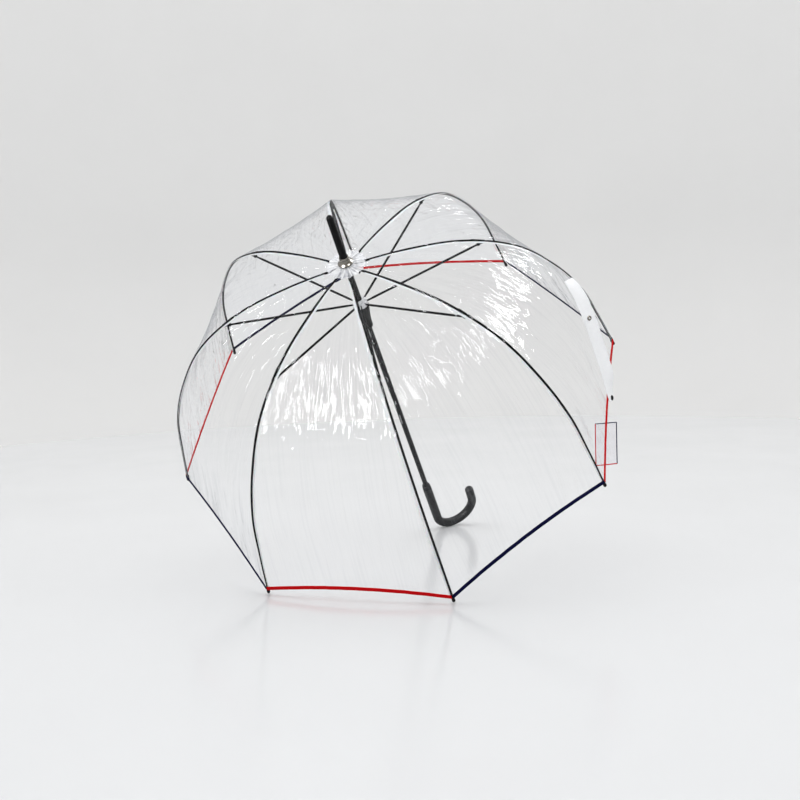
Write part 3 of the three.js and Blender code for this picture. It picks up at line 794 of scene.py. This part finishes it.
def rivet(shape, point, place, reach, radius):
    """A pin across a rib's plane with a domed head on each side."""
    rings = []
    for level, size in ((-1.0, 0.35), (-0.95, 0.8), (-0.82, 1.0), (0.82, 1.0), (0.95, 0.8), (1.0, 0.35)):
        ring = []
        for turn in turns(16):
            x = point.x + radius * size * math.cos(turn)
            y = point.y + radius * size * math.sin(turn)
            ring.append(place((x, level * reach, y)))
        rings.append(ring)
    shape.rings(rings)


def eye(shape, centre, towards, length, place, thickness=0.0017, radius=0.002, half_width=0.0014):
    """The flattened end of a rod, rounded about its pivot."""
    along = (towards - centre).normalized()
    across = Vector((-along.y, along.x))
    neck = centre + along * length
    outline = [neck - across * half_width, neck + across * half_width]
    first = math.atan2(half_width, math.sqrt(radius**2 - half_width**2))
    steps = 18
    for n in range(steps + 1):
        angle = first + (2 * math.pi - 2 * first) * n / steps
        outline.append(centre + along * (radius * math.cos(angle)) + across * (radius * math.sin(angle)))
    shape.plate(outline, thickness, place)


def rib_stations(start, end, steps):
    lengths = [start + (end - start) * n / steps for n in range(steps + 1)]
    return [(rib_line.at(s), rib_normal(s), ROD_RADIUS) for s in lengths]


def make_rib(rib):
    """A rib's two rods, with their flattened eyes and the folded clip, and its stretcher."""
    place = turned_to(rib_angle(rib))
    foot = rib_line.at(KNEE_FOOT_LENGTH)
    tangent, normal = rib_line.tangent(KNEE_FOOT_LENGTH), rib_normal(KNEE_FOOT_LENGTH)
    pivot = Vector((PIVOT_RADIUS, CROWN_PIVOT_DEPTH))
    elbow = rib_line.at(ELBOW_LENGTH)
    hang = (KNEE - foot).length

    upper = Shape()
    eye(upper, pivot, rib_line.at(0.009), 0.008, place)
    upper.rod(rib_stations(0.0066, KNEE_FOOT_LENGTH - CLIP_TAIL + 0.004, 60), place)

    def beside(x, y):
        return foot + tangent * x + normal * y
    cheek = [beside(-CLIP_TAIL, 0.0012), beside(CLIP_NOSE - 0.001, 0.0012), beside(CLIP_NOSE, 0.0004),
             beside(CLIP_NOSE, -0.0012), beside(CLIP_NOSE - 0.0008, -0.0019)]
    for n in range(13):
        angle = 0.35 - (math.pi + 0.7) * n / 12
        cheek.append(beside(0.0024 * math.cos(angle), 0.0024 * math.sin(angle) - hang))
    cheek += [beside(-0.007, -0.0019), beside(-CLIP_TAIL, -0.0019)]
    shift = (CLIP_GAP + CHEEK) / 2
    for side in (-shift, shift):
        upper.plate(cheek, CHEEK, place, side)
    bridge = [beside(-CLIP_TAIL, 0.0013), beside(-CLIP_TAIL + 0.007, 0.0013),
              beside(-CLIP_TAIL + 0.007, -0.002), beside(-CLIP_TAIL, -0.002)]
    upper.plate(bridge, CLIP_GAP + 2 * CHEEK + 0.0002, place)
    reach = CLIP_GAP / 2 + CHEEK + 0.0006
    rivet(upper, KNEE, place, reach, 0.0011)
    rivet(upper, elbow, place, reach, 0.0009)
    upper_piece = upper.piece(f"rib_wire_upper_{rib}", lacquer)

    lower = Shape()
    eye(lower, elbow, rib_line.at(ELBOW_LENGTH + 0.009), 0.0095, place, radius=0.00175, half_width=0.0013)
    lower.rod(rib_stations(ELBOW_LENGTH + 0.008, RIB_LENGTH - 0.006, 90), place)
    lower_piece = lower.piece(f"rib_wire_lower_{rib}", lacquer)

    link = Shape()
    inner = Vector((PIVOT_RADIUS, RUNNER_PIVOT_DEPTH))
    eye(link, KNEE, inner, 0.0105, place)
    eye(link, inner, KNEE, 0.008, place)
    along = (inner - KNEE).normalized()
    square = Vector((along.y, -along.x))
    span = (inner - KNEE).length
    stations = []
    for n in range(31):
        distance = 0.0085 + (span - 0.0150) * n / 30
        radius = ROD_RADIUS * (0.75 if n in (0, 30) else 1.0)
        stations.append((KNEE + along * distance, square, radius))
    link.rod(stations, place)
    link_piece = link.piece(f"stretcher_wire_{rib}", lacquer)

    for piece, name in ((upper_piece, "rib_upper"), (lower_piece, "rib_lower"), (link_piece, "stretcher")):
        settle(piece, f"{name}_{rib}", f"{name}_{rib}")


def make_tip(rib):
    """The moulded cap on a rib's end: a sleeve with a rolled rim, a waist and a rounded nose."""
    place = turned_to(rib_angle(rib))
    end, tangent, normal = rib_line.at(RIB_LENGTH), rib_line.tangent(RIB_LENGTH), rib_normal(RIB_LENGTH)
    profile = [(0, 0.7), (0, 0.96), (0.06, 1.0), (0.12, 0.96), (0.2, 0.88), (0.45, 0.86), (0.62, 0.97),
               (0.78, 1.0), (0.88, 0.93), (0.95, 0.74), (0.985, 0.45), (1.0, 0.12)]
    shape = Shape()
    stations = []
    for share, size in profile:
        stations.append((end + tangent * (share - 1) * TIP_LENGTH, normal, TIP_RADIUS * size))
    shape.rod(stations, place, 20)
    cap = shape.piece(f"tip_cap_{rib}", black_plastic, 50)
    settle(cap, f"rib_lower_{rib}", f"rib_tip_{rib}")


# Shaft fittings and handle

def make_crown():
    """The ferrule spike, the plated collar under it and the scalloped, creased patch of film."""
    spike = [(0, -0.103), (0.0018, -0.1028), (0.0034, -0.1021), (0.0046, -0.1006), (0.0053, -0.0982),
             (0.0055, -0.095), (0.0060, -0.050), (0.00625, -0.030), (0.00625, -0.0064), (0.0053, -0.0064),
             (0.0053, -0.040), (0, -0.040)]
    settle(lathe("ferrule", spike, black_plastic), "shaft", "ferrule_spike")
    cap = [(0.00655, -0.0200), (0.0073, -0.0203), (0.0077, -0.0196), (0.0079, -0.0165), (0.0084, -0.0148),
           (0.0096, -0.0118), (0.0110, -0.0098), (0.0123, -0.0088), (0.0125, -0.0082), (0.0125, -0.0072),
           (0.0120, -0.0067), (0.0112, -0.0066), (0.00655, -0.0066)]
    settle(lathe("ferrule_collar", cap, nickel, 72), "shaft", "ferrule_cap")

    def crimp(radius, turn):
        share = (radius - FITTING_BORE) / (ROSETTE_RADIUS - FITTING_BORE)
        scallop = -0.0032 * share**4 * (0.5 - 0.5 * math.cos(16 * turn)) ** 0.6
        ragged = 0.0009 * share**3 * noise.noise(Vector((4 * math.cos(turn), 4 * math.sin(turn), 0.3)))
        lift = 0.0004 * share * math.sin(8 * turn + 0.7) * math.cos(3 * turn) - 0.0002 * share
        return scallop + ragged, lift
    steps = 10
    top = []
    for n in range(steps + 1):
        radius = FITTING_BORE + (ROSETTE_RADIUS - FITTING_BORE) * n / steps
        top.append((radius, -0.0060 + 0.0029 * n / steps))
    profile = top + [(radius, depth + ROSETTE_THICKNESS) for radius, depth in reversed(top)]
    rosette = lathe("crown_rosette", profile, rosette_film, 128, 70, wave=crimp)
    settle(rosette, "shaft", "rosette")


def make_runner():
    """The runner's bell: a flared shoulder under its notch that narrows to a sleeve."""
    top = RUNNER_PIVOT_DEPTH + BELL_BELOW_PIVOT
    bell = [(BELL_BORE, 0), (0.0118, 0), (0.0126, 0.0008), (0.0130, 0.003), (0.0129, 0.006), (0.0124, 0.010),
            (0.0114, 0.017), (0.0102, 0.024), (0.0094, 0.030), (0.0089, 0.036), (0.0086, 0.043),
            (0.0086, 0.0485), (0.0082, 0.0497), (BELL_BORE, 0.050)]
    made = lathe("runner_bell", [(radius, top + depth) for radius, depth in bell], black_plastic)
    settle(made, "runner", "runner_body")


def make_handle():
    """The crook: a beaded collar, a straight grip, a half-round bend and a rounded, grooved end."""
    place = turned_to(CROOK_ANGLE)
    collar = [(0.0, 0.0071), (0.0006, 0.0077), (0.0022, 0.0081), (0.0034, 0.0081), (0.0040, 0.0077),
              (0.0048, 0.0077), (0.0054, 0.0083), (0.009, 0.0088), (COLLAR_LENGTH, GRIP_RADIUS)]
    nose = [(0.018, GRIP_RADIUS), (0.0070, GRIP_RADIUS), (0.0064, 0.0086), (0.0058, GRIP_RADIUS),
            (0.0035, 0.0087), (0.0018, 0.0078), (0.0006, 0.0060), (0.0001, 0.0035), (0.0, 0.0008)]
    stations = []

    def station(x, y, turn, radius=GRIP_RADIUS):
        stations.append((Vector((x, y)), Vector((math.cos(turn), math.sin(turn))), radius))
    for depth, radius in collar:
        station(0, GRIP_TOP + depth, 0, radius)
    steps = 12
    for n in range(1, steps + 1):
        station(0, GRIP_TOP + COLLAR_LENGTH + (BEND_START - GRIP_TOP - COLLAR_LENGTH) * n / steps, 0)
    steps = 48
    for n in range(1, steps + 1):
        turn = math.pi * n / steps
        station(BEND_RADIUS * (1 - math.cos(turn)), BEND_START + BEND_RADIUS * math.sin(turn), -turn)
    for depth, radius in nose:
        station(2 * BEND_RADIUS, BEND_START - CROOK_STRAIGHT + depth, -math.pi, radius)
    shape = Shape()
    shape.rod(stations, place, 40)
    settle(shape.piece("crook_grip", handle_plastic, 50), "shaft", "crook_handle")


# Strap and label

strap_place = turned_to(gore_angle(STRAP_GORE))


def strap_frame(share):
    """Middle, direction, sideways and outward of the strap at a share of its way."""
    def above_film(length, across):
        return canopy_point(length, across, STRAP_HEIGHT)

    def middle(s):
        station = catmull_rom(STRAP_STATIONS, min(max(s, 0.0), 1.0))
        return above_film(min(station.x, RIB_LENGTH - 0.001), station.y)
    step = 0.01
    along = (middle(share + step) - middle(share - step)).normalized()
    length, across = catmull_rom(STRAP_STATIONS, share)
    down = above_film(length + 0.001, across) - above_film(length - 0.001, across)
    around = above_film(length, across + 0.01) - above_film(length, across - 0.01)
    flat_sideways = along.cross(around.cross(down)).normalized()
    flat_outward = flat_sideways.cross(along).normalized()
    last = len(STRAP_STATIONS) - 1
    turning = smooth(share * last, *STRAP_TURN_STATIONS)
    twist = STRAP_TWIST + (STRAP_END_TWIST - STRAP_TWIST) * turning
    twist *= smooth(share * last, 0, STRAP_FLAT_STATIONS)
    sideways = flat_sideways * math.cos(twist) - flat_outward * math.sin(twist)
    outward = flat_outward * math.cos(twist) + flat_sideways * math.sin(twist)
    lifted = middle(share) + flat_outward * (STRAP_WIDTH / 2 * math.sin(twist))
    return lifted, along, sideways, outward


def strap_half_width(share):
    """Half the strap's width: both ends are rounded."""
    round_start = math.sqrt(max(0.0, 1 - (1 - min(share / 0.05, 1.0)) ** 2))
    round_end = math.sqrt(max(0.0, 1 - (1 - min((1 - share) / 0.055, 1.0)) ** 2))
    return STRAP_WIDTH / 2 * max(0.12, min(round_start, round_end))


def strap_point(share, side, lift):
    """side runs from -1 to 1 over the strap's width, lift is over its underside."""
    middle, _, sideways, outward = strap_frame(share)
    ripple = 0.0005 * noise.noise(Vector((share * 14, side * 0.8, 3)))
    return strap_place(middle + sideways * side * strap_half_width(share) + outward * (lift + ripple))


def make_strap():
    """A woven strap with raised edges, two rows of stitches, a snap ring and a stud."""
    section = [(-1, 0.2), (-0.97, 0.0), (-0.5, 0.0), (0, 0.0), (0.5, 0.0), (0.97, 0.0), (1, 0.2), (1, 0.8),
               (0.97, 1.0), (0.86, 1.0), (0.82, 0.86), (0.4, 0.84), (0, 0.84), (-0.4, 0.84), (-0.82, 0.86),
               (-0.86, 1.0), (-0.97, 1.0), (-1, 0.8)]
    rings, uvs = [], []
    steps = 120
    for n in range(steps + 1):
        share = n / steps
        rings.append([strap_point(share, side, lift * STRAP_THICKNESS) for side, lift in section])
        uvs += [(side * STRAP_WIDTH / 2, share * STRAP_LENGTH) for side, _ in section]
    strap = skin("strap", rings, uvs, strap_white, 50)
    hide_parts("tie_strap")

    rows = []
    for name, side in (("left", -0.9), ("right", 0.9)):
        def seat(share, side=side):
            return strap_point(0.05 + 0.9 * share, side, STRAP_THICKNESS + 0.0001)
        rows.append(stitches(f"strap_stitches_{name}", seat, 64, STRAP_STITCH_RADIUS, thread_white))
    ring_profile = [(0.0016, 0), (0.0016, 0.0006), (0.0024, 0.0011), (0.0036, 0.0010),
                    (0.0042, 0.0005), (0.0042, 0)]
    ring = button("snap_ring", SNAP_RING_SHARE, ring_profile, nickel)
    stud_profile = [(0, 0), (0, 0.0022), (0.002, 0.0021), (0.0036, 0.0016), (0.0046, 0.0008), (0.0048, 0)]
    stud = button("snap_stud", SNAP_STUD_SHARE, stud_profile, black_plastic)
    for piece in (strap, ring, stud, *rows):
        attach(piece, f"canopy_lower_{STRAP_GORE}")
        fold_flat(piece)


def button(name, share, profile, material, segments=36):
    """A small turned fitting on the strap's outer face, from (radius, lift) pairs."""
    middle, along, sideways, outward = strap_frame(share)
    points = []
    for turn in turns(segments):
        for radius, lift in profile:
            spoke = sideways * math.cos(turn) + along * math.sin(turn)
            points.append(strap_place(middle + spoke * radius + outward * (STRAP_THICKNESS * 0.84 + lift)))
    shape = Shape()
    shape.add(points, turned_faces(segments, len(profile)))
    made = shape.piece(name, material)
    weld(made)
    return made


def make_label():
    """A clear tag with a thin coloured border on all four sides, hanging from the hem by its top edge."""
    low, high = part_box("label_tag")
    middle = (low + high) / 2
    gore_outward = direction_at(gore_angle(STRAP_GORE), (1, 0, 0))
    right = Matrix.Rotation(LABEL_YAW, 3, "Z") @ Vector((gore_outward.x, gore_outward.y, 0)).normalized()
    up = Vector((0, 0, 1))
    facing = right.cross(up)

    def spot(x, y, lift):
        curl = 0.0012 * math.sin(2.2 * x / LABEL_WIDTH + 1.0) + 0.0010 * (y / LABEL_HEIGHT) ** 2
        return middle + right * x + up * y + facing * (lift + curl)
    columns, rows = 14, 22
    shape = Shape()
    for sign in (1, -1):
        points, uvs = [], []
        for row in range(rows + 1):
            for column in range(columns + 1):
                x = LABEL_WIDTH * (column / columns - 0.5)
                y = LABEL_HEIGHT * (row / rows - 0.5)
                points.append(spot(x, y, sign * LABEL_THICKNESS / 2))
                uvs.append((x, y))
        shape.add(points, grid_faces(rows, columns), uvs)
    count = (columns + 1) * (rows + 1)
    rim = list(range(columns))
    rim += [r * (columns + 1) + columns for r in range(rows)]
    rim += [rows * (columns + 1) + c for c in range(columns, 0, -1)]
    rim += [r * (columns + 1) for r in range(rows, 0, -1)]
    for n, a in enumerate(rim):
        b = rim[(n + 1) % len(rim)]
        shape.faces.append((a, b, b + count, a + count))
    tag = shape.piece("label_sheet", label_film, 60)
    weld(tag)

    w, h = LABEL_WIDTH / 2 - LABEL_BORDER_INSET, LABEL_HEIGHT / 2 - LABEL_BORDER_INSET
    borders = [
        label_border("navy", [(-w, h), (w, h), (w, -h)], navy, spot),
        label_border("red", [(w, -h), (-w, -h), (-w, h)], red, spot),
    ]
    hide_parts("label_tag")
    for piece in (tag, *borders):
        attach(piece, f"canopy_lower_{STRAP_GORE}")
        fold_flat(piece)


def label_border(name, corners, colour, spot):
    """Half of the label's border: flat strips from corner to corner, placed by spot(x, y, lift)."""
    half, lift = LABEL_BORDER_WIDTH / 2, LABEL_BORDER_THICKNESS / 2
    steps = 24
    line = Shape()
    for a, b in zip(corners, corners[1:]):
        dx, dy = (0, half) if a[1] == b[1] else (half, 0)
        rings = []
        for n in range(steps + 1):
            x = a[0] + (b[0] - a[0]) * n / steps
            y = a[1] + (b[1] - a[1]) * n / steps
            rings.append([spot(x - dx, y - dy, -lift), spot(x + dx, y + dy, -lift),
                          spot(x + dx, y + dy, lift), spot(x - dx, y - dy, lift)])
        line.rings(rings, [(x, y) for x in range(4) for y in range(steps + 1)])
    border = line.piece(f"label_border_{name}", colour, 50)
    return border


def dress_cad_nodes():
    """Better finishes for the CAD nodes that stay."""
    kept = {
        "shaft_tube": shaft_lacquer,
        "top_notch": white_plastic,
        "runner_notch": white_plastic,
        "top_catch": spring_steel,
        "bottom_catch": spring_steel,
    }
    for name, material in kept.items():
        node = frame["nodes"][name]
        node.data.materials.clear()
        node.data.materials.append(material)
        node.data.polygons.foreach_set("use_smooth", [True] * len(node.data.polygons))
        node.data.set_sharp_from_angle(angle=math.radians(30))


# Studio

CAMERA_FROM_CROWN = Vector((0.5296, -1.5116, -0.0817))
CAMERA_RIGHT = Vector((0.9588, 0.2820, -0.0347))
CAMERA_UP = Vector((0.0096, 0.0900, 0.9959))
LENS = 45.1  # mm on a sensor 36 mm wide
FLOOR_RADIUS = 2.6
SWEEP_RADIUS = 0.9
WALL_TOP = 3.4
WORLD_STRENGTH = 1.23
LIGHTS_AIM = Vector((0, -0.1, 0.35))


def make_camera():
    camera = bpy.data.objects.new("camera", bpy.data.cameras.new("camera"))
    camera.data.lens = LENS
    camera.data.sensor_width = 36
    camera.data.clip_start = 0.02
    right = CAMERA_RIGHT.normalized()
    up = (CAMERA_UP - right * CAMERA_UP.dot(right)).normalized()
    back = right.cross(up)
    turn = Matrix((right, up, back)).transposed().to_4x4()
    camera.matrix_world = Matrix.Translation(CROWN + CAMERA_FROM_CROWN) @ turn
    bpy.context.scene.collection.objects.link(camera)
    bpy.context.scene.camera = camera


def softbox(name, azimuth, elevation, size, power, distance=2.3, diffuse=False, mirrored=True, lit=None):
    """A soft panel that faces the umbrella. Azimuth 0 is in front of it, 90 to its right.

    diffuse and mirrored say how it shows on what it lights: the collection lit, or everything.
    """
    data = bpy.data.lights.new(name, "AREA")
    data.shape = "RECTANGLE"
    data.size, data.size_y = size
    data.energy = power
    light = bpy.data.objects.new(name, data)
    light.visible_camera = False
    light.visible_diffuse = diffuse
    light.visible_glossy = mirrored
    if lit:
        light.light_linking.receiver_collection = lit
    a, e = math.radians(azimuth), math.radians(elevation)
    towards = Vector((math.sin(a) * math.cos(e), -math.cos(a) * math.cos(e), math.sin(e)))
    light.location = LIGHTS_AIM + towards * distance
    light.rotation_mode = "QUATERNION"
    light.rotation_quaternion = towards.to_track_quat("Z", "Y")
    bpy.context.scene.collection.objects.link(light)


def studio_material(name, colour, low, high, specular):
    """Painted board: nearly even in colour, a little uneven in gloss."""
    s = Shader(name)
    cloud = s.noise(2.2, 3)
    return s.finish(s.principled(
        Base_Color=s.ramp(cloud, [(0.3, colour), (0.7, [c * 1.018 for c in colour])]),
        Roughness=s.ramp(cloud, [(0.3, low), (0.7, high)]), Specular_IOR_Level=specular,
    ))


def collect_pieces():
    """Every mesh that is there before the studio: all lights but the overhead one keep to these."""
    pieces = bpy.data.collections.new("lit_pieces")
    for made in bpy.context.scene.objects:
        if made.type == "MESH":
            pieces.objects.link(made)
    return pieces


def make_sweep():
    """A round white sweep: a floor that turns up into a wall on all sides."""
    profile = [(0.0, 0.0), (1.2, 0.0), (FLOOR_RADIUS, 0.0)]
    steps = 12
    for n in range(1, steps + 1):
        turn = math.pi / 2 * n / steps
        profile.append((FLOOR_RADIUS + SWEEP_RADIUS * math.sin(turn), SWEEP_RADIUS * (1 - math.cos(turn))))
    profile.append((FLOOR_RADIUS + SWEEP_RADIUS, WALL_TOP))
    rings = []
    for r, z in profile:
        rings.append([Vector((r * math.cos(turn), r * math.sin(turn), z)) for turn in turns(72)])
    shape = Shape()
    shape.rings(rings, closed_ends=False)
    wall = studio_material("studio_wall", (0.792, 0.790, 0.785), 0.7, 0.8, 0.1)
    sweep = make_piece("studio_sweep", shape.points, shape.faces, wall, None, 60)
    sweep.data.materials.append(studio_material("studio_floor", (0.775, 0.782, 0.792), 0.14, 0.2, 0.4))
    weld(sweep)
    for face in sweep.data.polygons:
        face.use_smooth = True
        face.material_index = 1 if face.center.z < 0.001 else 0


def make_studio(pieces):
    make_sweep()
    world = bpy.data.worlds.new("studio_world")
    world.use_nodes = True
    background = world.node_tree.nodes["Background"]
    background.inputs["Color"].default_value = (0.99, 0.995, 1.0, 1)
    background.inputs["Strength"].default_value = WORLD_STRENGTH
    bpy.context.scene.world = world
    softbox("softbox_left", -23, 19, (0.85, 1.3), 76, lit=pieces)
    softbox("softbox_low", -22, -3, (0.9, 0.5), 34, distance=1.75, lit=pieces)
    softbox("softbox_right", 41, 22, (0.6, 0.9), 36, lit=pieces)
    softbox("softbox_side", 120, 42, (0.9, 0.9), 60, lit=pieces)
    softbox("overhead", 0, 88, (2.2, 2.2), 14, diffuse=True)
    softbox("front_fill", 8, 10, (1.6, 1.6), 14, distance=3.1, diffuse=True, mirrored=False, lit=pieces)
    bpy.context.scene.view_settings.view_transform = "Standard"


make_camera()
for number in ribs:
    make_rib(number)
    make_tip(number)
    declare_film(number, *hang_film(number), weld_seam(number), bind_hem(number))
make_crown()
make_runner()
make_handle()
make_strap()
make_label()
dress_cad_nodes()
make_studio(collect_pieces())
